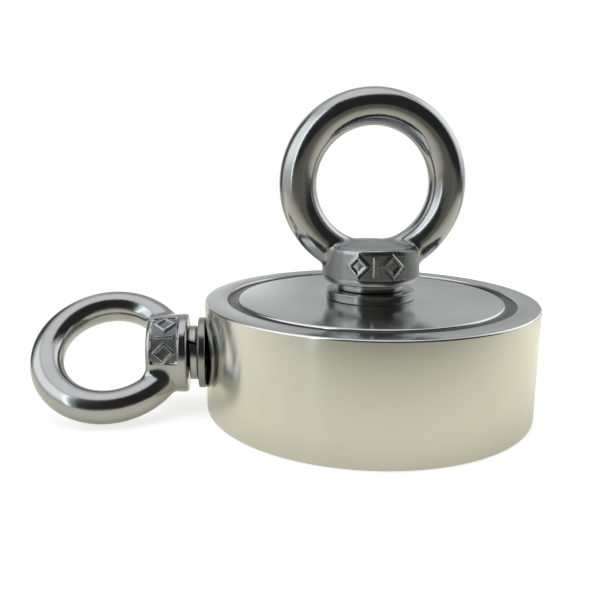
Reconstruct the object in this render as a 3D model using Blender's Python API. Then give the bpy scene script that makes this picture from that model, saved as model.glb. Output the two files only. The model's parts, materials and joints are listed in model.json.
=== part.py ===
"""Double-sided magnet fishing magnet.

A round steel housing with an H-shaped section holds one magnet disc in each pole face. A large
eyebolt screws into the middle of the top face, and a small one into the side wall, each over a
spring washer and a flat washer.

Metres, +Z up. The origin is the centre of the bottom pole face, the top eyebolt stands along +Z
and the side eyebolt points along -X.
"""

import math
from collections import namedtuple

import bmesh
import bpy
from mathutils import Matrix, Vector

MM = 0.001

# Clearance between pieces that touch on the real object.
GAP = 0.3 * MM

# Housing: a rim, a pot in each face and a solid web between the pots.
BODY_RADIUS = 37.5 * MM
BODY_HEIGHT = 25.0 * MM
RIM_THICKNESS = 5.0 * MM
OUTER_CHAMFER = 0.4 * MM
INNER_CHAMFER = 0.2 * MM
POT_RADIUS = BODY_RADIUS - RIM_THICKNESS

# Magnet discs, the adhesive under them and the resin round them.
MAGNET_RADIUS = 30.0 * MM
MAGNET_THICKNESS = 6.0 * MM
MAGNET_CHAMFER = 0.5 * MM
MAGNET_HOLE_RADIUS = 5.5 * MM
ADHESIVE_THICKNESS = 0.3 * MM
RESIN_RECESS = 0.7 * MM
POT_DEPTH = MAGNET_THICKNESS + ADHESIVE_THICKNESS + 2 * GAP
WEB_BOTTOM = POT_DEPTH
WEB_TOP = BODY_HEIGHT - POT_DEPTH

# Tapped holes, as plain bores at the thread's pitch radius plus half the clearance.
THREAD_CLEARANCE = 0.15 * MM
HOLE_COUNTERSINK = 0.6 * MM
SIDE_HOLE_DEPTH = 14.0 * MM
DRILL_POINT_ANGLE = math.radians(118)

# Facets round each kind of piece.
BODY_SEGMENTS = 72
BOLT_SEGMENTS = 40
EYE_SEGMENTS = 48
EYE_TUBE_SEGMENTS = 14
ARC_STEPS = 3
SHARP_ANGLE = math.radians(35)

# One eyebolt with its washers. Heights are counted from the collar's base, along the axis.
Eyebolt = namedtuple(
    "Eyebolt",
    "pitch_radius shank_length shank_chamfer neck_radius "
    "collar_base_radius collar_radius collar_top_radius collar_bevel collar_height collar_round dome "
    "eye_height eye_radius eye_tube "
    "flat_inner flat_outer flat_thickness spring_inner spring_outer spring_thickness seat_play",
)

M10_EYEBOLT = Eyebolt(
    pitch_radius=4.51 * MM,
    shank_length=18.0 * MM,
    shank_chamfer=1.0 * MM,
    neck_radius=4.2 * MM,
    collar_base_radius=10.4 * MM,
    collar_radius=11.1 * MM,
    collar_top_radius=10.5 * MM,
    collar_bevel=1.3 * MM,
    collar_height=8.1 * MM,
    collar_round=0.8 * MM,
    dome=1.0 * MM,
    eye_height=21.5 * MM,
    eye_radius=16.75 * MM,
    eye_tube=4.05 * MM,
    flat_inner=5.25 * MM,
    flat_outer=10.0 * MM,
    flat_thickness=2.0 * MM,
    spring_inner=5.1 * MM,
    spring_outer=7.6 * MM,
    spring_thickness=2.0 * MM,
    seat_play=0.0 * MM,
)

M8_EYEBOLT = Eyebolt(
    pitch_radius=3.59 * MM,
    shank_length=15.0 * MM,
    shank_chamfer=0.8 * MM,
    neck_radius=3.3 * MM,
    collar_base_radius=8.6 * MM,
    collar_radius=8.9 * MM,
    collar_top_radius=8.45 * MM,
    collar_bevel=0.5 * MM,
    collar_height=8.8 * MM,
    collar_round=0.7 * MM,
    dome=0.7 * MM,
    eye_height=17.4 * MM,
    eye_radius=13.9 * MM,
    eye_tube=3.6 * MM,
    flat_inner=4.2 * MM,
    flat_outer=8.0 * MM,
    flat_thickness=1.6 * MM,
    spring_inner=4.05 * MM,
    spring_outer=6.15 * MM,
    spring_thickness=2.1 * MM,
    seat_play=0.2 * MM,
)

# A spring washer is one turn of square wire. Its ends are this far apart, along and round the axis.
SPRING_RISE = 0.3 * MM
SPRING_SPLIT = math.radians(8)
TOP_SPLIT_ANGLE = math.radians(140)
SIDE_SPLIT_ANGLE = math.radians(-106)

# The side eye is turned about its own axis, so that its hole looks up and forward.
SIDE_EYE_TILT = math.radians(52)

NICKEL = ((0.62, 0.60, 0.54), 0.18, 1.0)
MAGNET_NICKEL = ((0.58, 0.60, 0.60), 0.28, 1.0)
STAINLESS = ((0.60, 0.60, 0.58), 0.16, 1.0)
WASHER_STEEL = ((0.55, 0.55, 0.53), 0.30, 1.0)
SPRING_STEEL = ((0.50, 0.50, 0.48), 0.25, 1.0)
RESIN = ((0.05, 0.05, 0.055), 0.35, 0.0)
ADHESIVE = ((0.55, 0.50, 0.38), 0.50, 0.0)


def clear_scene():
    for thing in list(bpy.data.objects):
        bpy.data.objects.remove(thing, do_unlink=True)


def give_material(thing, finish):
    """A plain metal or resin with the piece's own colour, roughness and metallic value."""
    colour, roughness, metallic = finish
    material = bpy.data.materials.new(thing.name)
    material.use_nodes = True
    shader = material.node_tree.nodes["Principled BSDF"]
    shader.inputs["Base Color"].default_value = (*colour, 1.0)
    shader.inputs["Roughness"].default_value = roughness
    shader.inputs["Metallic"].default_value = metallic
    thing.data.materials.append(material)


def add_piece(name, shape, finish=None):
    """Turn a bmesh into a smooth-shaded object. Its faces are made to point out."""
    bmesh.ops.recalc_face_normals(shape, faces=shape.faces)
    mesh = bpy.data.meshes.new(name)
    shape.to_mesh(mesh)
    shape.free()
    mesh.shade_smooth()
    mesh.set_sharp_from_angle(angle=SHARP_ANGLE)
    piece = bpy.data.objects.new(name, mesh)
    bpy.context.collection.objects.link(piece)
    if finish:
        give_material(piece, finish)
    return piece


def turned(name, outline, segments, finish=None):
    """Spin an outline of (radius, height) points round Z. It is closed, or starts and ends on Z."""
    shape = bmesh.new()
    corners = [shape.verts.new((radius, 0.0, height)) for radius, height in outline]
    edges = [shape.edges.new(pair) for pair in zip(corners, corners[1:])]
    if outline[0][0] > 0:
        edges.append(shape.edges.new((corners[-1], corners[0])))
    bmesh.ops.spin(
        shape,
        geom=corners + edges,
        axis=(0, 0, 1),
        cent=(0, 0, 0),
        angle=2 * math.pi,
        steps=segments,
        use_merge=True,
    )
    bmesh.ops.remove_doubles(shape, verts=shape.verts, dist=0.001 * MM)
    return add_piece(name, shape, finish)


def arc(centre_radius, centre_height, radius, start, end, steps=ARC_STEPS):
    """Points of a round edge in an outline, from one angle to another, in degrees."""
    angles = [math.radians(start + (end - start) * step / steps) for step in range(steps + 1)]
    return [
        (centre_radius + radius * math.cos(angle), centre_height + radius * math.sin(angle))
        for angle in angles
    ]


def add_pivot(name, location, axes=None):
    """An empty on a joint's axis. Its Z is the axis, pointing out of the housing."""
    pivot = bpy.data.objects.new(name, None)
    pivot.empty_display_size = 5 * MM
    bpy.context.collection.objects.link(pivot)
    pivot.location = location
    if axes:
        pivot.rotation_euler = axes.to_euler()
    return pivot


def hide_cutter(cutter):
    cutter.hide_render = True
    cutter.display_type = "WIRE"


def combine(target, other, operation):
    change = target.modifiers.new(other.name, "BOOLEAN")
    change.operation = operation
    change.solver = "EXACT"
    change.object = other
    hide_cutter(other)


def make_housing():
    """The rim and web in one turned piece, with the top hole through the web and the side hole."""
    bore = M10_EYEBOLT.pitch_radius + THREAD_CLEARANCE
    outline = [
        (bore, WEB_BOTTOM),
        (POT_RADIUS, WEB_BOTTOM),
        (POT_RADIUS, INNER_CHAMFER),
        (POT_RADIUS + INNER_CHAMFER, 0.0),
        (BODY_RADIUS - OUTER_CHAMFER, 0.0),
        (BODY_RADIUS, OUTER_CHAMFER),
        (BODY_RADIUS, BODY_HEIGHT - OUTER_CHAMFER),
        (BODY_RADIUS - OUTER_CHAMFER, BODY_HEIGHT),
        (POT_RADIUS + INNER_CHAMFER, BODY_HEIGHT),
        (POT_RADIUS, BODY_HEIGHT - INNER_CHAMFER),
        (POT_RADIUS, WEB_TOP),
        (bore + HOLE_COUNTERSINK, WEB_TOP),
        (bore, WEB_TOP - HOLE_COUNTERSINK),
    ]
    housing = turned("steel_housing", outline, BODY_SEGMENTS, NICKEL)
    combine(housing, make_side_hole_cutter(), "DIFFERENCE")


def make_side_hole_cutter():
    """A drilled blind hole with its countersink, pointing along -X out of the wall."""
    bore = M8_EYEBOLT.pitch_radius + THREAD_CLEARANCE
    overshoot = 2 * MM
    tip = bore / math.tan(DRILL_POINT_ANGLE / 2)
    outline = [
        (0.0, -SIDE_HOLE_DEPTH - tip),
        (bore, -SIDE_HOLE_DEPTH),
        (bore, -HOLE_COUNTERSINK),
        (bore + HOLE_COUNTERSINK + overshoot, overshoot),
        (0.0, overshoot),
    ]
    cutter = turned("side_hole_cutter", outline, BOLT_SEGMENTS)
    cutter.matrix_world = Matrix.Translation((-BODY_RADIUS, 0.0, BODY_HEIGHT / 2)) @ side_axes().to_4x4()
    return cutter


def magnet_outline(face, back, inner):
    """A disc, or a ring with an inner radius, whose pole face has a chamfered edge."""
    into = math.copysign(MAGNET_CHAMFER, back - face)
    outline = [
        (inner, back),
        (MAGNET_RADIUS, back),
        (MAGNET_RADIUS, face + into),
        (MAGNET_RADIUS - MAGNET_CHAMFER, face),
    ]
    if inner > 0:
        outline += [(inner + MAGNET_CHAMFER, face), (inner, face + into)]
    else:
        outline.append((0.0, face))
    return outline


def band(inner, outer, low, high):
    return [(inner, low), (outer, low), (outer, high), (inner, high)]


def make_magnets():
    top_back = BODY_HEIGHT - MAGNET_THICKNESS
    top = magnet_outline(BODY_HEIGHT, top_back, MAGNET_HOLE_RADIUS)
    bottom = magnet_outline(0.0, MAGNET_THICKNESS, 0.0)
    turned("top_magnet", top, BODY_SEGMENTS, MAGNET_NICKEL)
    turned("bottom_magnet", bottom, BODY_SEGMENTS, MAGNET_NICKEL)


def make_adhesive_layers():
    """The glue between each magnet and the web, open in the middle of the top one."""
    top_low = WEB_TOP + GAP
    bottom_low = WEB_BOTTOM - GAP - ADHESIVE_THICKNESS
    top = band(MAGNET_HOLE_RADIUS, MAGNET_RADIUS, top_low, top_low + ADHESIVE_THICKNESS)
    bottom = band(0.0, MAGNET_RADIUS, bottom_low, bottom_low + ADHESIVE_THICKNESS)
    turned("top_adhesive_layer", top, BODY_SEGMENTS, ADHESIVE)
    turned("bottom_adhesive_layer", bottom, BODY_SEGMENTS, ADHESIVE)


def make_resin_rings():
    """Potting resin in the groove between each magnet and the rim, below the pole face."""
    inner = MAGNET_RADIUS + GAP
    outer = POT_RADIUS - GAP
    top = band(inner, outer, WEB_TOP + GAP, BODY_HEIGHT - RESIN_RECESS)
    bottom = band(inner, outer, RESIN_RECESS, WEB_BOTTOM - GAP)
    turned("top_resin_ring", top, BODY_SEGMENTS, RESIN)
    turned("bottom_resin_ring", bottom, BODY_SEGMENTS, RESIN)


def eyebolt_outline(bolt):
    """The threaded shank, its neck, and the collar with a bevelled base, round edges and a dome."""
    shank = bolt.pitch_radius - THREAD_CLEARANCE
    neck_length = 2 * MM
    lower_round = arc(
        bolt.collar_radius - bolt.collar_round,
        bolt.collar_bevel + bolt.collar_round,
        bolt.collar_round,
        -30,
        10,
    )
    upper_round = arc(
        bolt.collar_top_radius - bolt.collar_round,
        bolt.collar_height - bolt.collar_round,
        bolt.collar_round,
        10,
        80,
    )
    return [
        (0.0, -bolt.shank_length),
        (shank - bolt.shank_chamfer, -bolt.shank_length),
        (shank, -bolt.shank_length + bolt.shank_chamfer),
        (shank, -neck_length),
        (bolt.neck_radius, -neck_length + shank - bolt.neck_radius),
        (bolt.neck_radius, 0.0),
        (bolt.collar_base_radius, 0.0),
        *lower_round,
        *upper_round,
        (0.5 * bolt.collar_top_radius, bolt.collar_height + 0.75 * bolt.dome),
        (0.0, bolt.collar_height + bolt.dome),
    ]


def make_eye(name, bolt):
    """The round eye: a circle of the tube's section spun round Y at the eye's centre."""
    shape = bmesh.new()
    outline = Matrix.Translation((bolt.eye_radius, 0.0, bolt.eye_height))
    section = bmesh.ops.create_circle(
        shape, segments=EYE_TUBE_SEGMENTS, radius=bolt.eye_tube, matrix=outline
    )
    edges = list({edge for corner in section["verts"] for edge in corner.link_edges})
    bmesh.ops.spin(
        shape,
        geom=section["verts"] + edges,
        axis=(0, 1, 0),
        cent=(0, 0, bolt.eye_height),
        angle=2 * math.pi,
        steps=EYE_SEGMENTS,
        use_merge=True,
    )
    return add_piece(name, shape)


def make_eyebolt(name, bolt, pivot):
    """Shank, collar and eye are one forging, so the eye is joined to the turned part."""
    eyebolt = turned(name, eyebolt_outline(bolt), BOLT_SEGMENTS, STAINLESS)
    eye = make_eye(name + "_eye_form", bolt)
    combine(eyebolt, eye, "UNION")
    eyebolt.parent = pivot
    eye.parent = pivot


def make_flat_washer(name, bolt, pivot):
    """It lies on the housing, a whole washer stack below the collar's base."""
    edge = 0.2 * MM
    low = -stack_height(bolt) + GAP
    high = -stack_height(bolt) + bolt.flat_thickness - GAP / 2
    outline = [
        (bolt.flat_inner, low),
        (bolt.flat_outer - edge, low),
        (bolt.flat_outer, low + edge),
        (bolt.flat_outer, high - edge),
        (bolt.flat_outer - edge, high),
        (bolt.flat_inner, high),
    ]
    washer = turned(name, outline, BOLT_SEGMENTS, WASHER_STEEL)
    washer.parent = pivot


def make_spring_washer(name, bolt, pivot, split_angle):
    """One left-handed turn of rectangular wire, with its split at the given angle."""
    low = -stack_height(bolt) + bolt.flat_thickness + GAP / 2
    wire_height = -GAP - low - SPRING_RISE
    shape = bmesh.new()
    turn = 2 * math.pi - SPRING_SPLIT
    sections = []
    for step in range(BOLT_SEGMENTS + 1):
        share = step / BOLT_SEGMENTS
        angle = split_angle + SPRING_SPLIT / 2 + turn * share
        base = low + SPRING_RISE * (1 - share)
        around = Vector((math.cos(angle), math.sin(angle), 0.0))
        corners = band(bolt.spring_inner, bolt.spring_outer, base, base + wire_height)
        sections.append(
            [shape.verts.new(around * radius + Vector((0, 0, height))) for radius, height in corners]
        )
    for first, second in zip(sections, sections[1:]):
        for side in range(4):
            after = (side + 1) % 4
            shape.faces.new((first[side], first[after], second[after], second[side]))
    shape.faces.new(sections[0])
    shape.faces.new(sections[-1])
    washer = add_piece(name, shape, SPRING_STEEL)
    washer.parent = pivot


def stack_height(bolt):
    """From the housing's surface to the collar's base."""
    return bolt.flat_thickness + bolt.spring_thickness + bolt.seat_play


def side_axes():
    """Axes of the side eyebolt: Z out along -X, with the eye's hole tilted up from the front."""
    across = Vector((0.0, math.sin(SIDE_EYE_TILT), math.cos(SIDE_EYE_TILT)))
    behind = Vector((0.0, math.cos(SIDE_EYE_TILT), -math.sin(SIDE_EYE_TILT)))
    outward = Vector((-1.0, 0.0, 0.0))
    return Matrix((across, behind, outward)).transposed()


def make_top_set():
    seat = Vector((0.0, 0.0, BODY_HEIGHT + stack_height(M10_EYEBOLT)))
    pivot = add_pivot("top_eyebolt_axis", seat)
    make_eyebolt("top_eyebolt", M10_EYEBOLT, pivot)
    make_flat_washer("top_flat_washer", M10_EYEBOLT, pivot)
    make_spring_washer("top_spring_washer", M10_EYEBOLT, pivot, TOP_SPLIT_ANGLE)


def make_side_set():
    seat = Vector((-BODY_RADIUS - stack_height(M8_EYEBOLT), 0.0, BODY_HEIGHT / 2))
    pivot = add_pivot("side_eyebolt_axis", seat, side_axes())
    make_eyebolt("side_eyebolt", M8_EYEBOLT, pivot)
    make_flat_washer("side_flat_washer", M8_EYEBOLT, pivot)
    make_spring_washer("side_spring_washer", M8_EYEBOLT, pivot, SIDE_SPLIT_ANGLE)


def main():
    clear_scene()
    make_housing()
    make_magnets()
    make_adhesive_layers()
    make_resin_rings()
    make_top_set()
    make_side_set()


main()
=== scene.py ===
"""The looks of the magnet fishing magnet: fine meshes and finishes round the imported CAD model.

Every piece takes its place and size from the frame: the nodes' boxes and the joints. Lengths inside
the shape functions are in millimetres, counted from an eyebolt's collar base or the drum's bottom.
"""

import json
import math
from collections import namedtuple

import bpy
import numpy as np
from mathutils import Matrix, Vector


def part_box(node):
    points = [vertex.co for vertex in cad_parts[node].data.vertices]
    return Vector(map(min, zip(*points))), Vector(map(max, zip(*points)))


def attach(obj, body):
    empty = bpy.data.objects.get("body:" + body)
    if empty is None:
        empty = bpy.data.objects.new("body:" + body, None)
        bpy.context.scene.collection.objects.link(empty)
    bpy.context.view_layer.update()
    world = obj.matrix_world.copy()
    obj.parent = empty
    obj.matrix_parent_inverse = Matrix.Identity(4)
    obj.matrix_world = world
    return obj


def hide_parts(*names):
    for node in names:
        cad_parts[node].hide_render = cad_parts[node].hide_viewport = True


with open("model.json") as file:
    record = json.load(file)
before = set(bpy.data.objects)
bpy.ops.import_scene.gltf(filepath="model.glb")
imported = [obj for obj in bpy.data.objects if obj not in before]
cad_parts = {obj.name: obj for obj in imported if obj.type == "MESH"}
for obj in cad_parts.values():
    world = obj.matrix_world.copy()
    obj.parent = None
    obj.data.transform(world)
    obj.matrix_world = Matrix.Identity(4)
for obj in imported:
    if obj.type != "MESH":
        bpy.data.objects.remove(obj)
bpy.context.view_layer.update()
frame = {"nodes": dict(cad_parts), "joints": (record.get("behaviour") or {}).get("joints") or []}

MM = 0.001
TURN = 2 * math.pi
JOINTS = {joint["name"]: joint for joint in frame["joints"]}


# ---------------------------------------------------------------- camera, floor and light

CAMERA_PLACE = (-30.16 * MM, -149.80 * MM, 57.12 * MM)
CAMERA_PITCH = math.radians(77.73)
CAMERA_HEADING = math.radians(-5.37)
CAMERA_ROLL = math.radians(0.40)
CAMERA_LENS = 40.52

# The floor is a disc just under the object. It is solid in its middle and fades out towards its edge.
FLOOR_RADIUS = 0.60
FLOOR_CORNERS = 96
FLOOR_DROP = 0.05 * MM
FLOOR_SOLID_RADIUS = 0.25
FLOOR_FADED_RADIUS = 0.55

# To the camera it is white paper. The metal reflects a pale table, dim at the front, bright under
# the object and falling off to a share of that behind it. The pairs are the Y where each change
# starts and ends.
PAPER = (0.40, 0.40, 0.40, 1.0)
PAPER_GLOW = 0.75
TABLE_DIM = (0.105, 0.10, 0.082, 1.0)
TABLE_LIT = (0.54, 0.53, 0.445, 1.0)
TABLE_GLOW = 0.9
TABLE_RISE = (-0.32, 0.10)
TABLE_FALL = (0.03, 0.13)
TABLE_FALLEN = 0.35

STUDIO_GREY = 0.80
STUDIO_WARMTH = -0.06


def add_camera():
    data = bpy.data.cameras.new("photo_camera")
    data.lens = CAMERA_LENS
    data.sensor_width = 36.0
    data.clip_start = 0.01
    data.clip_end = 50.0
    camera = bpy.data.objects.new("photo_camera", data)
    bpy.context.scene.collection.objects.link(camera)
    turn = Matrix.Rotation(CAMERA_HEADING, 4, "Z")
    tip = Matrix.Rotation(CAMERA_PITCH, 4, "X")
    roll = Matrix.Rotation(CAMERA_ROLL, 4, "Z")
    camera.matrix_world = Matrix.Translation(CAMERA_PLACE) @ turn @ tip @ roll
    bpy.context.scene.camera = camera


class Graph:
    """Short calls for building a node tree."""

    def __init__(self, tree):
        self.tree = tree
        self.tree.nodes.clear()

    def node(self, kind, settings=None, **inputs):
        made = self.tree.nodes.new(kind)
        for name, value in (settings or {}).items():
            setattr(made, name, value)
        for name, value in inputs.items():
            self.put(made.inputs[name.replace("_", " ")], value)
        return made

    def put(self, socket, value):
        if isinstance(value, bpy.types.NodeSocket):
            self.tree.links.new(value, socket)
        else:
            socket.default_value = value

    def math(self, operation, *values):
        made = self.node("ShaderNodeMath", {"operation": operation})
        for socket, value in zip(made.inputs, values):
            self.put(socket, value)
        return made.outputs[0]

    def step(self, value, low, high, to_low=0.0, to_high=1.0):
        """A smooth rise from to_low to to_high as value goes from low to high."""
        made = self.node("ShaderNodeMapRange", {"interpolation_type": "SMOOTHSTEP"})
        names = ("Value", "From Min", "From Max", "To Min", "To Max")
        for name, setting in zip(names, (value, low, high, to_low, to_high)):
            self.put(made.inputs[name], setting)
        return made.outputs["Result"]

    def band(self, value, low, high, soft):
        """1 between low and high, falling to 0 over soft on both sides."""
        rise = self.step(value, low - soft, low + soft)
        fall = self.step(value, high - soft, high + soft, 1.0, 0.0)
        return self.math("MULTIPLY", rise, fall)

    def mix(self, share, first, second):
        made = self.node("ShaderNodeMix", {"data_type": "RGBA"})
        self.put(made.inputs[0], share)
        self.put(made.inputs[6], first)
        self.put(made.inputs[7], second)
        return made.outputs[2]


def grey(value, warm=0.0):
    """A grey of that brightness. Positive warm takes blue out, negative warm takes red out."""
    return (value * (1 + min(warm, 0)), value, value * (1 - max(warm, 0)), 1.0)


# One patch of the studio as the metal reflects it. Later patches lie over earlier ones. Azimuths are
# in degrees from the front (-Y) towards +X, heights in degrees over the horizon, and soft is half the
# width of the blurred edge.
Panel = namedtuple("Panel", "left right low high soft brightness warmth")

STUDIO_PANELS = (
    # Behind the object: a back wall, bright in its left half, with a grey band over it.
    Panel(145.0, 215.0, -8.0, 14.0, 4.0, 0.46, -0.02),
    Panel(177.0, 215.0, -8.0, 13.0, 4.0, 0.92, -0.06),
    Panel(145.0, 202.0, 15.0, 50.0, 7.0, 0.52, 0.0),
    # The ceiling.
    Panel(-400.0, 400.0, 60.0, 100.0, 7.0, 1.18, -0.03),
    # The softboxes at the left and at the right.
    Panel(-108.0, -42.0, 12.0, 52.0, 8.0, 1.62, -0.04),
    Panel(98.0, 143.0, 10.0, 47.0, 8.0, 1.50, 0.0),
    # The gap behind the left softbox.
    Panel(-150.0, -116.0, -8.0, 44.0, 6.0, 0.12, 0.0),
    # The ground beyond the table: bright at the left, dim at the right.
    Panel(-110.0, -45.0, -90.0, 2.0, 3.0, 0.70, 0.05),
    Panel(45.0, 105.0, -90.0, 2.0, 4.0, 0.16, 0.1),
    # The dark front, and the photographer's side of the room low in it.
    Panel(-40.0, 84.0, -2.0, 68.0, 6.0, 0.035, 0.0),
    Panel(-42.0, 24.0, -90.0, 5.0, 5.0, 0.18, 0.15),
    Panel(24.0, 60.0, -90.0, -1.0, 5.0, 0.14, 0.15),
    # The bright lamp strip at the left softbox's front edge.
    Panel(-48.5, -45.0, 0.0, 56.0, 1.8, 3.6, -0.22),
)


def add_world():
    """A pale studio with a dark front, where the camera stands, as the metal reflects it.

    Azimuth is counted in degrees from the front (-Y) towards +X, and height above the horizon.
    """
    world = bpy.data.worlds.new("studio")
    bpy.context.scene.world = world
    world.use_nodes = True
    graph = Graph(world.node_tree)
    ray = graph.node("ShaderNodeTexCoord").outputs["Generated"]
    parts = graph.node("ShaderNodeSeparateXYZ", Vector=ray).outputs
    forward = graph.math("MULTIPLY", parts["Y"], -1.0)
    azimuth = graph.math("DEGREES", graph.math("ARCTAN2", parts["X"], forward))
    height = graph.math("DEGREES", graph.math("ARCSINE", parts["Z"]))
    behind = graph.math("LESS_THAN", azimuth, 0.0)
    azimuth_past_back = graph.math("ADD", azimuth, graph.math("MULTIPLY", behind, 360.0))

    studio = grey(STUDIO_GREY, STUDIO_WARMTH)
    for panel in STUDIO_PANELS:
        bearing = azimuth_past_back if panel.right > 180 else azimuth
        across = graph.band(bearing, panel.left, panel.right, panel.soft)
        up = graph.band(height, panel.low, panel.high, panel.soft)
        share = graph.math("MULTIPLY", across, up)
        studio = graph.mix(share, studio, grey(panel.brightness, panel.warmth))

    seen = graph.node("ShaderNodeLightPath").outputs["Is Camera Ray"]
    colour = graph.mix(seen, studio, grey(1.0))
    background = graph.node("ShaderNodeBackground", Color=colour, Strength=1.0)
    graph.node("ShaderNodeOutputWorld", Surface=background.outputs[0])


def add_floor():
    """A pale table top round the object, whose edge can't be seen."""
    mesh = bpy.data.meshes.new("floor")
    angles = [TURN * i / FLOOR_CORNERS for i in range(FLOOR_CORNERS)]
    points = [(FLOOR_RADIUS * math.cos(a), FLOOR_RADIUS * math.sin(a), 0.0) for a in angles]
    mesh.from_pydata(points, [], [list(range(FLOOR_CORNERS))])
    floor = bpy.data.objects.new("floor", mesh)
    floor.location = (0.0, 0.0, -FLOOR_DROP)
    bpy.context.scene.collection.objects.link(floor)
    floor.data.materials.append(floor_material())


def floor_material():
    material = bpy.data.materials.new("floor")
    material.use_nodes = True
    graph = Graph(material.node_tree)
    place = graph.node("ShaderNodeTexCoord").outputs["Object"]
    distance = graph.node("ShaderNodeVectorMath", {"operation": "LENGTH"})
    graph.put(distance.inputs[0], place)
    fade = graph.step(distance.outputs["Value"], FLOOR_SOLID_RADIUS, FLOOR_FADED_RADIUS)
    depth = graph.node("ShaderNodeSeparateXYZ", Vector=place).outputs["Y"]
    rise = graph.step(depth, *TABLE_RISE)
    fall = graph.step(depth, *TABLE_FALL, 1.0, TABLE_FALLEN)
    lit = graph.mix(graph.math("MULTIPLY", rise, fall), TABLE_DIM, TABLE_LIT)
    table = glowing(graph, lit, lit, TABLE_GLOW)
    paper = glowing(graph, PAPER, (1.0, 1.0, 1.0, 1.0), PAPER_GLOW)
    seen = graph.node("ShaderNodeLightPath").outputs["Is Camera Ray"]
    top = mixed_shader(graph, seen, table, paper)
    clear = graph.node("ShaderNodeBsdfTransparent").outputs[0]
    graph.node("ShaderNodeOutputMaterial", Surface=mixed_shader(graph, fade, top, clear))
    return material


def glowing(graph, colour, glow_colour, strength):
    """A matt surface that also gives off some light."""
    both = graph.node("ShaderNodeAddShader")
    graph.put(both.inputs[0], graph.node("ShaderNodeBsdfDiffuse", Color=colour).outputs[0])
    glow = graph.node("ShaderNodeEmission", Color=glow_colour, Strength=strength)
    graph.put(both.inputs[1], glow.outputs[0])
    return both.outputs[0]


def mixed_shader(graph, share, first, second):
    either = graph.node("ShaderNodeMixShader", Fac=share)
    graph.put(either.inputs[1], first)
    graph.put(either.inputs[2], second)
    return either.outputs[0]


def add_softbox(name, place, target, size, power):
    """A square lamp that lights the matt surfaces, and that the metal doesn't reflect."""
    data = bpy.data.lights.new(name, "AREA")
    data.shape = "SQUARE"
    data.size = size
    data.energy = power
    light = bpy.data.objects.new(name, data)
    bpy.context.scene.collection.objects.link(light)
    light.location = place
    light.visible_glossy = False
    light.rotation_euler = (Vector(target) - Vector(place)).to_track_quat("-Z", "Y").to_euler()


# ---------------------------------------------------------------- finishes

# Sizes of the noise patterns, as their scales over metres, and the heights of the bumps they make.
CLOUD_SCALE = 140.0
WAVE_SCALE = 220.0
GRAIN_SCALE = 900.0
GRAIN_HEIGHT = 0.02 * MM
WAVE_HEIGHT = 0.25 * MM

# How much rougher the unpolished patches are, and how much coarser their grain is.
CAST_ROUGHNESS = 0.30
CAST_GRAIN = 6.0


def finish(name, colour, roughness, metallic=1.0, specular=0.5, tint=0.04, spread=0.25,
           grain=0.0, grain_scale=GRAIN_SCALE, turned=0.0, wave=0.0, cast=None):
    """A metal or resin whose tone and gloss wander a little, with a fine grain in its surface.

    tint and spread are how far the tone and the roughness wander, as shares of them. turned is how
    strongly lathe marks round Z draw reflections out across them, and wave is the strength of the
    slow waviness that hand polishing leaves. cast is the tone of the unpolished patches, which the
    mesh marks with its as_cast attribute.
    """
    material = bpy.data.materials.new(name)
    material.use_nodes = True
    graph = Graph(material.node_tree)
    place = graph.node("ShaderNodeTexCoord").outputs["Object"]
    cloud = noise(graph, place, CLOUD_SCALE, 3.0)
    darker = tuple(channel * (1 - tint) for channel in colour)
    lighter = tuple(min(1.0, channel * (1 + tint)) for channel in colour)
    tone = graph.mix(graph.step(cloud, 0.3, 0.7), (*darker, 1.0), (*lighter, 1.0))
    fine = noise(graph, place, grain_scale, 4.0)
    gloss = graph.step(cloud, 0.25, 0.75, roughness * (1 - spread), roughness * (1 + spread))
    if cast:
        rough = graph.node("ShaderNodeAttribute", {"attribute_name": "as_cast"}).outputs["Fac"]
        tone = graph.mix(rough, tone, cast)
        gloss = graph.math("ADD", gloss, graph.math("MULTIPLY", rough, CAST_ROUGHNESS))
        coarser = graph.math("ADD", graph.math("MULTIPLY", rough, CAST_GRAIN), 1.0)
        fine = graph.math("MULTIPLY", fine, coarser)
    shader = graph.node("ShaderNodeBsdfPrincipled", Metallic=metallic, Roughness=gloss)
    shader.inputs["Specular IOR Level"].default_value = specular
    graph.put(shader.inputs["Base Color"], tone)
    if turned:
        round_z = graph.node("ShaderNodeTangent", {"direction_type": "RADIAL", "axis": "Z"})
        shader.inputs["Anisotropic"].default_value = turned
        shader.inputs["Anisotropic Rotation"].default_value = 0.25
        graph.put(shader.inputs["Tangent"], round_z.outputs[0])
    if grain:
        bump = graph.node("ShaderNodeBump", Strength=grain, Distance=GRAIN_HEIGHT, Height=fine)
        graph.put(shader.inputs["Normal"], bump.outputs["Normal"])
        if wave:
            slow = noise(graph, place, WAVE_SCALE, 1.0)
            ripple = graph.node("ShaderNodeBump", Strength=wave, Distance=WAVE_HEIGHT, Height=slow)
            graph.put(bump.inputs["Normal"], ripple.outputs["Normal"])
    graph.node("ShaderNodeOutputMaterial", Surface=shader.outputs[0])
    return material


def noise(graph, place, scale, detail):
    return graph.node("ShaderNodeTexNoise", Vector=place, Scale=scale, Detail=detail).outputs["Fac"]


def plated(name, colour, roughness, turned):
    """Smooth nickel plate over a lathe-turned surface."""
    return finish(name, colour, roughness, tint=0.015, spread=0.08, grain=0.02, turned=turned)


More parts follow.
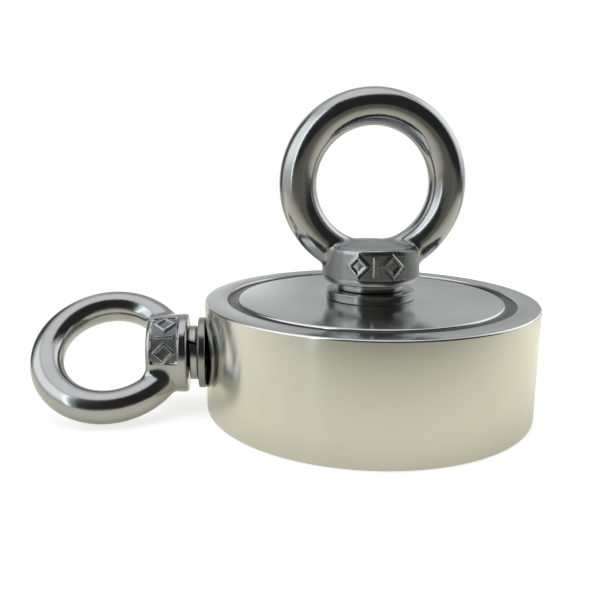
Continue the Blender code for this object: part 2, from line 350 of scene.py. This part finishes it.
NICKEL = plated("nickel_plate", (0.71, 0.695, 0.65), 0.17, turned=0.88)
# A darker copy of the drum's plate for the faces across its axis: painted shade, not a different
# plating.
RIM_NICKEL_PAINTED_SHADE = plated("rim_plate_painted_shade", (0.52, 0.525, 0.52), 0.17, turned=0.7)
MAGNET_NICKEL = plated("magnet_plate", (0.58, 0.59, 0.58), 0.16, turned=0.75)
STAINLESS = finish("polished_stainless", (0.43, 0.428, 0.43), 0.14, grain=0.50, grain_scale=1100.0,
                   wave=0.16, cast=(0.20, 0.205, 0.22, 1.0))
WASHER_STEEL = finish("washer_steel", (0.31, 0.31, 0.305), 0.22, grain=0.30)
SPRING_STEEL = finish("spring_steel", (0.41, 0.41, 0.40), 0.20, grain=0.30)
RESIN = finish("potting_resin", (0.012, 0.013, 0.016), 0.24, metallic=0.0, specular=0.3, tint=0.3,
               grain=0.08, grain_scale=400.0)
ADHESIVE = finish("adhesive", (0.50, 0.45, 0.33), 0.5, metallic=0.0, tint=0.15, grain=0.2)


# ---------------------------------------------------------------- making meshes

SHARP_DEGREES = 40.0


def add_piece(name, points_mm, faces, material, place=None, normals=None, sharp=SHARP_DEGREES):
    """A smooth-shaded object from points in millimetres and faces, placed by the place matrix.

    With normals, its shading follows them. Without, edges over sharp degrees are kept sharp.
    """
    points = np.asarray(points_mm) * MM
    if place is not None:
        turn = np.array(place.to_3x3())
        points = points @ turn.T + np.array(place.translation)
        normals = None if normals is None else normals @ turn.T
    mesh = bpy.data.meshes.new(name)
    mesh.from_pydata(points.tolist(), [], faces)
    mesh.shade_smooth()
    if normals is None:
        mesh.set_sharp_from_angle(angle=math.radians(sharp))
    else:
        mesh.normals_split_custom_set_from_vertices(normals.tolist())
    mesh.materials.append(material)
    piece = bpy.data.objects.new(name, mesh)
    bpy.context.scene.collection.objects.link(piece)
    return piece


def stand_for(piece, node, body):
    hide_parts(node)
    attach(piece, body)


def arc(radius_at, height_at, radius, start, end, steps=6):
    """Points on a circle in an outline, from one angle to another, in degrees."""
    angles = np.radians(np.linspace(start, end, steps + 1))
    return [(radius_at + radius * math.cos(a), height_at + radius * math.sin(a)) for a in angles]


def turned_mesh(outline, segments, radius_shift=None):
    """Points and faces of a closed outline of (radius, height) spun round Z.

    An outline that starts and ends on the axis gets a fan at each pole. radius_shift(angles, radius,
    height) adds a thread to the plain radius.
    """
    outline = np.asarray(outline, float)
    poles = outline[0, 0] < 1e-9
    ring_points = outline[1:-1] if poles else outline
    angles = np.arange(segments) * TURN / segments
    radius = np.repeat(ring_points[None, :, 0], segments, axis=0)
    height = np.repeat(ring_points[None, :, 1], segments, axis=0)
    if radius_shift:
        radius = radius + radius_shift(angles[:, None], radius, height)
    points = np.stack([radius * np.cos(angles)[:, None], radius * np.sin(angles)[:, None], height], -1)
    points = points.reshape(-1, 3)
    count = len(ring_points)
    first = np.arange(segments)[:, None] * count
    second = (np.arange(segments)[:, None] + 1) % segments * count
    along = np.arange(count - 1 if poles else count)[None, :]
    after = (along + 1) % count
    quads = np.stack([first + along, second + along, second + after, first + after], -1)
    faces = quads.reshape(-1, 4).tolist()
    if poles:
        low, high = len(points), len(points) + 1
        points = np.vstack([points, [[0, 0, outline[0, 1]], [0, 0, outline[-1, 1]]]])
        for here, there in zip(first[:, 0].tolist(), second[:, 0].tolist()):
            faces.append([low, there, here])
            faces.append([high, here + count - 1, there + count - 1])
    return points, faces


def surface_net(distance, low, high, step):
    """Points, quads and normals of the surface where distance(points) is zero, inside a box.

    Each cell of a grid that the surface crosses gets one point, which is then moved onto the surface
    along the distance's own slope, and four neighbouring cells share a face.
    """
    axes = [np.arange(a, b + step, step) for a, b in zip(low, high)]
    grid = np.stack(np.meshgrid(*axes, indexing="ij"), -1)
    values = distance(grid.reshape(-1, 3)).reshape(grid.shape[:3])
    where, offset = crossed_cells(values)
    index = np.full([n - 1 for n in values.shape], -1)
    index[tuple(where.T)] = np.arange(len(where))
    quads = net_quads(values < 0, index)
    points = moved_onto(distance, np.asarray(low) + (where + offset) * step, step)
    slope = slope_of(distance, points)
    return points, quads.tolist(), slope / np.linalg.norm(slope, axis=1)[:, None]


def crossed_cells(values):
    """The cells that the surface crosses, and where in each cell it does so on average."""
    cells = tuple(n - 1 for n in values.shape)
    inside_count = np.zeros(cells, int)
    crossing_sum = np.zeros((*cells, 3))
    crossing_count = np.zeros(cells)
    corners = [(i, j, k) for i in (0, 1) for j in (0, 1) for k in (0, 1)]

    def corner_values(corner):
        return values[tuple(slice(o, o + n) for o, n in zip(corner, cells))]

    for corner in corners:
        inside_count += corner_values(corner) < 0
    for start in corners:
        for axis in range(3):
            if start[axis]:
                continue
            end = tuple(1 if i == axis else o for i, o in enumerate(start))
            a, b = corner_values(start), corner_values(end)
            crossed = (a < 0) != (b < 0)
            share = np.where(crossed, a / np.where(crossed, a - b, 1.0), 0.0)
            crossing_count += crossed
            for i in range(3):
                crossing_sum[..., i] += crossed * (start[i] + (share if i == axis else 0.0))
    active = (inside_count > 0) & (inside_count < 8)
    return np.argwhere(active), crossing_sum[active] / crossing_count[active][:, None]


def net_quads(inside, index):
    """One face for each grid edge that the surface crosses, from the points of the four cells there."""
    quads = []
    for axis in range(3):
        one, two = (axis + 1) % 3, (axis + 2) % 3
        here = [slice(1, -1)] * 3
        there = [slice(1, -1)] * 3
        here[axis], there[axis] = slice(0, -1), slice(1, None)
        a, b = inside[tuple(here)], inside[tuple(there)]
        for leaving in (True, False):
            edges = np.argwhere((a & ~b) if leaving else (~a & b))
            edges[:, one] += 1
            edges[:, two] += 1
            loop = [(0, 0), (-1, 0), (-1, -1), (0, -1)]
            if not leaving:
                loop.reverse()
            around = []
            for shift_one, shift_two in loop:
                cell = edges.copy()
                cell[:, one] += shift_one
                cell[:, two] += shift_two
                around.append(index[tuple(cell.T)])
            quads.append(np.stack(around, -1))
    return np.concatenate(quads)


def moved_onto(distance, points, step):
    """The points, moved along the distance's slope until they lie on the surface."""
    for _ in range(4):
        slope = slope_of(distance, points)
        length = np.maximum((slope**2).sum(1), 1e-6)
        move = -(distance(points) / length)[:, None] * slope
        points = points + np.clip(move, -0.5 * step, 0.5 * step)
    return points


def slope_of(distance, points, reach=0.01):
    slope = np.empty_like(points)
    for axis in range(3):
        shift = np.zeros(3)
        shift[axis] = reach
        slope[:, axis] = (distance(points + shift) - distance(points - shift)) / (2 * reach)
    return slope


# ---------------------------------------------------------------- eyebolts

# Sizes in millimetres, from the collar's base along the axis. The eye's plane is XZ. seat is the
# joint on whose axis the bolt sits, panel is half the sunk field behind the marks, and cell is the
# size of the grid that the mesh is made on.
Eyebolt = namedtuple(
    "Eyebolt",
    "node body seat thread_radius pitch shank_length neck_radius "
    "collar_base collar_low collar_top collar_bevel collar_height dome "
    "eye_height eye_radius eye_tube fillet panel mark_turn mark_middle mark_size mark_rise cell",
)

TOP_BOLT = Eyebolt(
    node="top_eyebolt",
    body="top_bolt",
    seat=JOINTS["top_eyebolt_turn"],
    thread_radius=4.95,
    pitch=1.5,
    shank_length=18.0,
    neck_radius=4.2,
    collar_base=10.4,
    collar_low=11.1,
    collar_top=10.5,
    collar_bevel=1.3,
    collar_height=8.1,
    dome=1.0,
    eye_height=21.5,
    eye_radius=16.75,
    eye_tube=4.05,
    fillet=1.1,
    panel=None,
    mark_turn=math.radians(-5.5),
    mark_middle=4.6,
    mark_size=2.2,
    mark_rise=0.25,
    cell=0.25,
)

SIDE_BOLT = Eyebolt(
    node="side_eyebolt",
    body="side_bolt",
    seat=JOINTS["side_eyebolt_turn"],
    thread_radius=3.95,
    pitch=1.25,
    shank_length=15.0,
    neck_radius=3.3,
    collar_base=8.6,
    collar_low=8.9,
    collar_top=8.45,
    collar_bevel=0.5,
    collar_height=8.8,
    dome=0.7,
    eye_height=17.4,
    eye_radius=13.9,
    eye_tube=3.6,
    fillet=1.6,
    panel=(6.2, 2.9),
    mark_turn=math.radians(-12),
    mark_middle=4.9,
    mark_size=2.15,
    mark_rise=0.5,
    cell=0.225,
)


# The profile of a thread, as shares of its pitch: the flat root, both flanks together, and the depth
# on a shank and in a bore.
THREAD_ROOT = 0.25
THREAD_FLANK = 0.62
THREAD_DEPTH = 0.6134
BORE_THREAD_DEPTH = 0.55

# The marks on the collar, as shares of their size.
BAR_HALF_WIDTH = 0.19
MARK_REACH = 0.95
MARK_SPACING = 1.75
MARK_STROKE = 0.38

# Millimetres: the width of the slope round the marks and the sunk field, the field's depth and its
# corners, where the thread starts under the collar, the taper of the shank's end and how far the
# shank reaches into the collar.
MARK_SLOPE = 0.5
PANEL_DEPTH = 0.40
PANEL_CORNER = 0.8
THREAD_START = 1.6
SHANK_TAPER = 1.2
SHANK_TOP = 2.0


def thread_ridge(phase):
    """1 on the thread's crest and 0 in its root. The phase goes from crest to crest, from 0 to 1."""
    return np.clip((np.abs(2 * phase - 1) - THREAD_ROOT) / THREAD_FLANK, 0, 1)


def smooth_max(a, b, width):
    """The larger of two distances, with a rounded edge of that width where they meet."""
    blend = np.maximum(width - np.abs(a - b), 0) / width
    return np.maximum(a, b) + blend**2 * width / 4


def smooth_min(a, b, width):
    return -smooth_max(-a, -b, width)


def slanted(radius, height, first, second):
    """Distance outside the line from first to second, which runs up the right-hand side."""
    run, rise = second[0] - first[0], second[1] - first[1]
    length = math.hypot(run, rise)
    return ((radius - first[0]) * rise - (height - first[1]) * run) / length


def lozenge(across, up, middle, size):
    """An open lozenge mark: distance outside its stroke."""
    reach = np.abs(across - middle) + np.abs(up)
    return np.abs(reach - size) / math.sqrt(2) - MARK_STROKE * size / 2


def collar_marks(across, up, size):
    """A plain ornament in place of lettering: a bar between two open lozenges."""
    bar = np.maximum(np.abs(across) - BAR_HALF_WIDTH * size, np.abs(up) - MARK_REACH * size)
    pair = lozenge(np.abs(across), up, MARK_SPACING * size, MARK_REACH * size)
    return np.minimum(bar, pair)


def soft_step(value, width):
    """1 well below zero, 0 well above it, with a smooth change over width."""
    share = np.clip(0.5 - value / width, 0, 1)
    return share * share * (3 - 2 * share)


def collar_place(bolt, x, y, z):
    """Where a point lies on the collar's wall: millimetres round it from the mark, and above it."""
    angle = np.arctan2(x, -y) - bolt.mark_turn
    angle = (angle + math.pi) % TURN - math.pi
    return bolt.collar_low * angle, z - bolt.mark_middle


def panel_edge(bolt, across, up):
    """Distance outside the sunk field behind the marks."""
    half_width, half_height = bolt.panel
    return smooth_max(np.abs(across) - half_width, np.abs(up) - half_height, PANEL_CORNER)


def cast_share(bolt, points):
    """How rough the surface was left: 1 where the wheel never reached, as beside the marks."""
    x, y, z = points.T
    across, up = collar_place(bolt, x, y, z)
    radius = np.hypot(x, y)
    # On the collar's wall, away from its upper and lower edges.
    wall = soft_step(bolt.collar_top - 0.9 - radius, 0.4)
    wall = wall * soft_step(np.abs(up) - 0.42 * bolt.collar_height, 0.8)
    # On its dome, inside the edge.
    dome = soft_step(radius - bolt.collar_top + 1.2, 0.8) * soft_step(bolt.collar_height - z, 0.6)
    dome = dome * soft_step(z - bolt.collar_height - bolt.dome - 0.3, 0.6)
    marks = soft_step(collar_marks(across, up, bolt.mark_size) + 0.1, 0.35)
    if bolt.panel:
        rough = soft_step(panel_edge(bolt, across, up) + 0.2, 0.4)
    else:
        # A little all round, and more at both ends of the marks.
        reach = np.abs(across)
        rough = 0.32 + 0.45 * soft_step(7.6 - reach, 1.2) * soft_step(reach - 12.0, 2.5)
    return np.maximum(rough * wall * (1 - marks), 0.45 * dome)


def eyebolt_distance(bolt):
    """How far a point is outside the whole forging, in millimetres, as a function of points."""
    dome_radius = (bolt.collar_top**2 + bolt.dome**2) / (2 * bolt.dome)
    dome_middle = bolt.collar_height + bolt.dome - dome_radius
    low_corner = (bolt.collar_low, bolt.collar_bevel)
    top_corner = (bolt.collar_top, bolt.collar_height)

    def collar(x, y, z, radius):
        bevel = slanted(radius, z, (bolt.collar_base, 0.0), low_corner)
        wall = slanted(radius, z, low_corner, top_corner)
        across, up = collar_place(bolt, x, y, z)
        if bolt.panel:
            wall = wall + PANEL_DEPTH * soft_step(panel_edge(bolt, across, up), MARK_SLOPE)
        marks = collar_marks(across, up, bolt.mark_size)
        wall = wall - bolt.mark_rise * soft_step(marks, MARK_SLOPE)
        dome = np.hypot(radius, z - dome_middle) - dome_radius
        side = smooth_max(bevel, wall, 0.3)
        return smooth_max(smooth_max(side, dome, 1.2), -z, 0.4)

    def shank(x, y, z, radius):
        phase = (z / bolt.pitch - np.arctan2(y, x) / TURN) % 1.0
        depth = THREAD_DEPTH * bolt.pitch
        runout = np.clip(-z - THREAD_START, 0, 1)
        root = bolt.thread_radius - depth
        wall = root + depth * thread_ridge(phase) * runout
        neck = np.where(runout > 0, wall, np.minimum(root, bolt.neck_radius))
        # The flanks are slanted, so the distance to them is less than along the radius.
        side = 0.75 * (radius - neck)
        end_radius = bolt.thread_radius - SHANK_TAPER
        end_taper = (radius - end_radius - (z + bolt.shank_length)) / math.sqrt(2)
        end = -z - bolt.shank_length
        return np.maximum(np.maximum(side, smooth_max(end_taper, end, 0.3)), z - SHANK_TOP)

    def distance(points):
        x, y, z = points[:, 0], points[:, 1], points[:, 2]
        radius = np.hypot(x, y)
        eye = np.hypot(np.hypot(x, z - bolt.eye_height) - bolt.eye_radius, y) - bolt.eye_tube
        head = smooth_min(eye, collar(x, y, z, radius), bolt.fillet)
        return np.minimum(head, shank(x, y, z, radius))

    return distance


def seat_matrix(seat, across):
    """From an eyebolt's own axes to the frame. across is where its X axis points."""
    outward = Vector(seat["axis"]).normalized()
    across = Vector(across)
    behind = outward.cross(across)
    axes = Matrix((across, behind, outward)).transposed().to_4x4()
    return Matrix.Translation(seat["pos_m"]) @ axes


def side_eye_across():
    """The side eye's far side, from the box of its node: the eye is a circle tilted about X."""
    low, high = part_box(SIDE_BOLT.node)
    reach_y = (high.y - low.y) / 2 - SIDE_BOLT.eye_tube * MM
    reach_z = (high.z - low.z) / 2 - SIDE_BOLT.eye_tube * MM
    return Vector((0.0, reach_y, reach_z)).normalized()


def make_eyebolt(bolt, place):
    """The whole forging as one mesh, made on a grid with some room round the metal."""
    room, room_for_marks = 0.6, 0.9
    width = bolt.eye_radius + bolt.eye_tube + room
    depth = bolt.collar_low + room_for_marks
    low = (-width, -depth, -bolt.shank_length - room)
    high = (width, depth, bolt.eye_height + width)
    points, quads, normals = surface_net(eyebolt_distance(bolt), low, high, bolt.cell)
    forging = add_piece(bolt.node + "_forging", points, quads, STAINLESS, place, normals)
    cast = forging.data.attributes.new("as_cast", "FLOAT", "POINT")
    cast.data.foreach_set("value", cast_share(bolt, points).astype(np.float32))
    stand_for(forging, bolt.node, bolt.body)


# ---------------------------------------------------------------- washers

# Sizes in millimetres. Heights count from the drum's surface, and spring_gap from the collar's base.
WasherSet = namedtuple(
    "WasherSet",
    "side flat_inner flat_outer flat_low flat_high "
    "spring_inner spring_outer spring_low spring_gap spring_rise split_angle",
)

TOP_WASHERS = WasherSet(
    side="top",
    flat_inner=5.25,
    flat_outer=10.0,
    flat_low=0.02,
    flat_high=2.0,
    spring_inner=5.1,
    spring_outer=7.6,
    spring_low=2.02,
    spring_gap=0.02,
    spring_rise=0.10,
    split_angle=math.radians(140),
)

SIDE_WASHERS = WasherSet(
    side="side",
    flat_inner=4.2,
    flat_outer=8.0,
    flat_low=0.02,
    flat_high=1.6,
    spring_inner=4.05,
    spring_outer=6.15,
    spring_low=1.65,
    spring_gap=0.05,
    spring_rise=0.42,
    split_angle=math.radians(-106),
)

WASHER_SEGMENTS = 160
WASHER_EDGE = 0.25
SPRING_STEPS = 180
SPRING_CORNER = 0.28
SPRING_SPLIT = math.radians(7)
SPRING_SLANT = math.radians(7)
SPRING_SHARP_DEGREES = 50.0


def make_flat_washer(washers, place, surface):
    """surface is the drum's surface on the bolt's axis, counted from the collar's base."""
    low, high = surface + washers.flat_low, surface + washers.flat_high
    inner, outer, edge = washers.flat_inner, washers.flat_outer, WASHER_EDGE
    outline = [
        (inner, low + edge),
        (inner + edge, low),
        *arc(outer - edge, low + edge, edge, -90, 0),
        *arc(outer - edge, high - edge, edge, 0, 90),
        (inner + edge, high),
        (inner, high - edge),
    ]
    points, faces = turned_mesh(outline, WASHER_SEGMENTS)
    washer = add_piece(washers.side + "_washer_plain", points, faces, WASHER_STEEL, place)
    stand_for(washer, washers.side + "_flat_washer", washers.side + "_washers")


def spring_section(washers, thickness):
    """The wire's section with round corners, as (radius, height) points."""
    inner, outer, corner = washers.spring_inner, washers.spring_outer, SPRING_CORNER
    section = [
        *arc(outer - corner, corner, corner, -90, 0, 3),
        *arc(outer - corner, thickness - corner, corner, 0, 90, 3),
        *arc(inner + corner, thickness - corner, corner, 90, 180, 3),
        *arc(inner + corner, corner, corner, 180, 270, 3),
    ]
    return np.array(section)


def make_spring_washer(washers, place, surface):
    """One left-handed turn of square wire with rounded edges and slanted ends."""
    low, high = surface + washers.spring_low, -washers.spring_gap
    thickness = high - low - washers.spring_rise
    section = spring_section(washers, thickness)
    steps = SPRING_STEPS
    share = np.linspace(0, 1, steps + 1)[:, None]
    end_lean = SPRING_SLANT * (section[None, :, 1] / thickness - 0.5)
    angle = washers.split_angle + SPRING_SPLIT / 2 + (TURN - SPRING_SPLIT) * share + end_lean
    radius = np.repeat(section[None, :, 0], steps + 1, axis=0)
    height = low + washers.spring_rise * (1 - share) + section[None, :, 1]
    points = np.stack([radius * np.cos(angle), radius * np.sin(angle), height], -1).reshape(-1, 3)
    count = len(section)
    first = np.arange(steps)[:, None] * count
    along = np.arange(count)[None, :]
    after = (along + 1) % count
    corners = [first + along, first + after, first + count + after, first + count + along]
    quads = np.stack(corners, -1)
    faces = quads[..., ::-1].reshape(-1, 4).tolist()
    faces.append(list(range(count)))
    faces.append([steps * count + i for i in reversed(range(count))])
    name = washers.side + "_washer_split"
    washer = add_piece(name, points, faces, SPRING_STEEL, place, sharp=SPRING_SHARP_DEGREES)
    stand_for(washer, washers.side + "_spring_washer", washers.side + "_washers")


# ---------------------------------------------------------------- drum

DRUM_SEGMENTS = 384
RESIN_SEGMENTS = 256

# Millimetres. The threaded holes' radii are those of their threads' roots.
GROOVE_WIDTH = 2.5
GLUE_THICKNESS = 0.9
MAGNET_HOLE_RADIUS = 5.5
MAGNET_EDGE = 0.5
DRUM_EDGE = 0.45
POT_EDGE = 0.2
TOP_HOLE_RADIUS = 4.99
TOP_HOLE_ROWS = 100
TOP_COUNTERSINK = 0.7
TOP_THREAD_INSET = 0.8
SIDE_HOLE_RADIUS = 3.99
SIDE_HOLE_ROWS = 112
SIDE_HOLE_SEGMENTS = 96
SIDE_HOLE_DEPTH = 14.0
SIDE_HOLE_POINT = 2.2
SIDE_COUNTERSINK = 2.1
SIDE_HOLE_OVERSHOOT = 1.5
SIDE_THREAD_START = 1.0
SIDE_THREAD_END = SIDE_HOLE_DEPTH - 0.5
RESIN_RECESS = 0.45
RESIN_HOLLOW = 0.25

Drum = namedtuple(
    "Drum",
    "radius height magnet_radius magnet_back magnet_face pot_radius web_low web_top",
)


def drum_sizes():
    """Millimetres from the frame: the drum, its magnets and the groove between them."""
    _, housing_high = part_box("steel_housing")
    magnet_low, magnet_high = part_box("top_magnet")
    height = housing_high.z / MM
    back = magnet_low.z / MM
    web_top = back - GLUE_THICKNESS
    return Drum(
        radius=housing_high.x / MM,
        height=height,
        magnet_radius=magnet_high.x / MM,
        magnet_back=back,
        magnet_face=magnet_high.z / MM,
        pot_radius=magnet_high.x / MM + GROOVE_WIDTH,
        web_low=height - web_top,
        web_top=web_top,
    )


DRUM = drum_sizes()


def thread_shift(pitch, low, high, collar):
    """A female thread cut into a bore between two heights. The bore's radius is the thread's root.

    collar is the height of the bolt's collar base, from which the bolt counts its own thread.
    """

    def shift(angles, radius, height):
        phase = ((height - collar) / pitch - angles / TURN) % 1.0
        bore = (radius < TOP_HOLE_RADIUS + 0.05) & (height > low) & (height < high)
        return np.where(bore, -BORE_THREAD_DEPTH * pitch * (1 - thread_ridge(phase)), 0.0)

    return shift


def make_housing():
    """The drum, its pots, the web between them and both threaded holes, in one piece."""
    edge, lip, mouth = DRUM_EDGE, POT_EDGE, TOP_HOLE_RADIUS + TOP_COUNTERSINK
    bore = np.linspace(DRUM.web_top - TOP_COUNTERSINK, DRUM.web_low + TOP_COUNTERSINK, TOP_HOLE_ROWS)
    outline = [
        (mouth, DRUM.web_low),
        (DRUM.pot_radius, DRUM.web_low),
        (DRUM.pot_radius, lip),
        *arc(DRUM.pot_radius + lip, lip, lip, 180, 270, 3),
        *arc(DRUM.radius - edge, edge, edge, -90, 0),
        *arc(DRUM.radius - edge, DRUM.height - edge, edge, 0, 90),
        *arc(DRUM.pot_radius + lip, DRUM.height - lip, lip, 90, 180, 3),
        (DRUM.pot_radius, DRUM.web_top),
        (mouth, DRUM.web_top),
        *[(TOP_HOLE_RADIUS, height) for height in bore],
    ]
    collar = TOP_BOLT.seat["pos_m"][2] / MM
    low, high = DRUM.web_low + TOP_THREAD_INSET, DRUM.web_top - TOP_THREAD_INSET
    shift = thread_shift(TOP_BOLT.pitch, low, high, collar)
    points, faces = turned_mesh(outline, DRUM_SEGMENTS, shift)
    housing = add_piece("nickel_plated_drum", points, faces, NICKEL)
    cut(housing, make_side_hole_cutter())
    paint_shade_on_flat_faces(housing)
    stand_for(housing, "steel_housing", "housing")


def paint_shade_on_flat_faces(housing):
    """Faces across the axis, such as the rims, get a darker copy of the plate, which paints shade on
    them. The walls keep the first one.
    """
    housing.data.materials.append(RIM_NICKEL_PAINTED_SHADE)
    for face in housing.data.polygons:
        if abs(face.normal.z) > 0.9:
            face.material_index = len(housing.data.materials) - 1


def make_side_hole_cutter():
    """The tapped side hole as a solid: a countersink, a thread and a drill point."""
    rows = np.linspace(-0.6, -SIDE_HOLE_DEPTH, SIDE_HOLE_ROWS)
    outline = [
        (0.0, SIDE_HOLE_OVERSHOOT),
        (SIDE_HOLE_RADIUS + SIDE_COUNTERSINK, SIDE_HOLE_OVERSHOOT),
        *[(SIDE_HOLE_RADIUS, row) for row in rows],
        (0.0, -SIDE_HOLE_DEPTH - SIDE_HOLE_POINT),
    ]
    outline.reverse()
    collar = -SIDE_BOLT.seat["pos_m"][0] / MM - DRUM.radius
    shift = thread_shift(SIDE_BOLT.pitch, -SIDE_THREAD_END, -SIDE_THREAD_START, collar)
    points, faces = turned_mesh(outline, SIDE_HOLE_SEGMENTS, shift)
    middle = Vector((-DRUM.radius * MM, 0.0, DRUM.height / 2 * MM))
    place = Matrix.Translation(middle) @ SIDE_PLACE.to_3x3().to_4x4()
    return add_piece("side_hole_cutter", points, faces, NICKEL, place)


def cut(target, cutter):
    """Subtract the cutter from the target for good, and remove the cutter."""
    change = target.modifiers.new("cut", "BOOLEAN")
    change.operation = "DIFFERENCE"
    change.solver = "EXACT"
    change.object = cutter
    bpy.context.view_layer.update()
    evaluated = target.evaluated_get(bpy.context.evaluated_depsgraph_get())
    mesh = bpy.data.meshes.new_from_object(evaluated)
    target.modifiers.clear()
    target.data = mesh
    mesh.shade_smooth()
    mesh.set_sharp_from_angle(angle=math.radians(SHARP_DEGREES))
    bpy.data.objects.remove(cutter, do_unlink=True)


def disc_outline(face, back, inner):
    """A magnet with a rounded edge round its pole face. inner is its hole's radius, or 0."""
    edge = MAGNET_EDGE
    up = face > back
    side = 1 if up else -1
    rim = arc(DRUM.magnet_radius - edge, face - side * edge, edge, 0, 90 * side)
    outline = [(inner, back), (DRUM.magnet_radius, back), *rim]
    if inner:
        outline += arc(inner + edge, face - side * edge, edge, 90 * side, 180 * side)
    else:
        outline += [(0.0, face)]
    return outline if up else outline[::-1]


def make_magnets():
    rows = (
        ("top_magnet_ring", "top_magnet", DRUM.magnet_face, DRUM.magnet_back, MAGNET_HOLE_RADIUS),
        ("bottom_magnet_disc", "bottom_magnet", 0.0, DRUM.height - DRUM.magnet_back, 0.0),
    )
    for name, node, face, back, inner in rows:
        points, faces = turned_mesh(disc_outline(face, back, inner), DRUM_SEGMENTS)
        magnet = add_piece(name, points, faces, MAGNET_NICKEL)
        stand_for(magnet, node, "housing")


def resin_outline(surface, floor):
    """Resin with a shallow hollow between the magnet and the rim, where it climbed both walls."""
    inner, outer = DRUM.magnet_radius + 0.01, DRUM.pot_radius - 0.01
    middle, width = (inner + outer) / 2, outer - inner
    side = 1 if surface > floor else -1
    across = np.linspace(-1, 1, 13)
    top = [(middle - t * width / 2, surface - side * RESIN_HOLLOW * (1 - t**4)) for t in across]
    outline = [(inner, floor), (outer, floor), *top]
    return outline if side > 0 else outline[::-1]


def make_resin_rings():
    rows = (
        ("top", DRUM.height - RESIN_RECESS, DRUM.web_top + 0.02),
        ("bottom", RESIN_RECESS, DRUM.web_low - 0.02),
    )
    for face, surface, floor in rows:
        points, faces = turned_mesh(resin_outline(surface, floor), RESIN_SEGMENTS)
        ring = add_piece(face + "_resin_fill", points, faces, RESIN)
        stand_for(ring, face + "_resin_ring", "housing")


def dress_adhesive():
    for name in ("top_adhesive_layer", "bottom_adhesive_layer"):
        layer = frame["nodes"][name]
        layer.data.materials.clear()
        layer.data.materials.append(ADHESIVE)


# ---------------------------------------------------------------- the whole object

TOP_PLACE = seat_matrix(TOP_BOLT.seat, (1.0, 0.0, 0.0))
SIDE_PLACE = seat_matrix(SIDE_BOLT.seat, side_eye_across())


def make_bolt_sets():
    """Each eyebolt with its washers, which lie between the drum's surface and the collar."""
    top_surface = DRUM.height - TOP_BOLT.seat["pos_m"][2] / MM
    side_surface = DRUM.radius + SIDE_BOLT.seat["pos_m"][0] / MM
    make_eyebolt(TOP_BOLT, TOP_PLACE)
    make_eyebolt(SIDE_BOLT, SIDE_PLACE)
    make_flat_washer(TOP_WASHERS, TOP_PLACE, top_surface)
    make_spring_washer(TOP_WASHERS, TOP_PLACE, top_surface)
    make_flat_washer(SIDE_WASHERS, SIDE_PLACE, side_surface)
    make_spring_washer(SIDE_WASHERS, SIDE_PLACE, side_surface)


add_camera()
add_world()
add_floor()
add_softbox("overhead_softbox", (-0.05, 0.05, 0.75), (0.0, 0.0, 0.02), 0.70, 3.0)
bpy.context.scene.view_settings.view_transform = "Standard"
make_housing()
make_magnets()
make_resin_rings()
dress_adhesive()
make_bolt_sets()
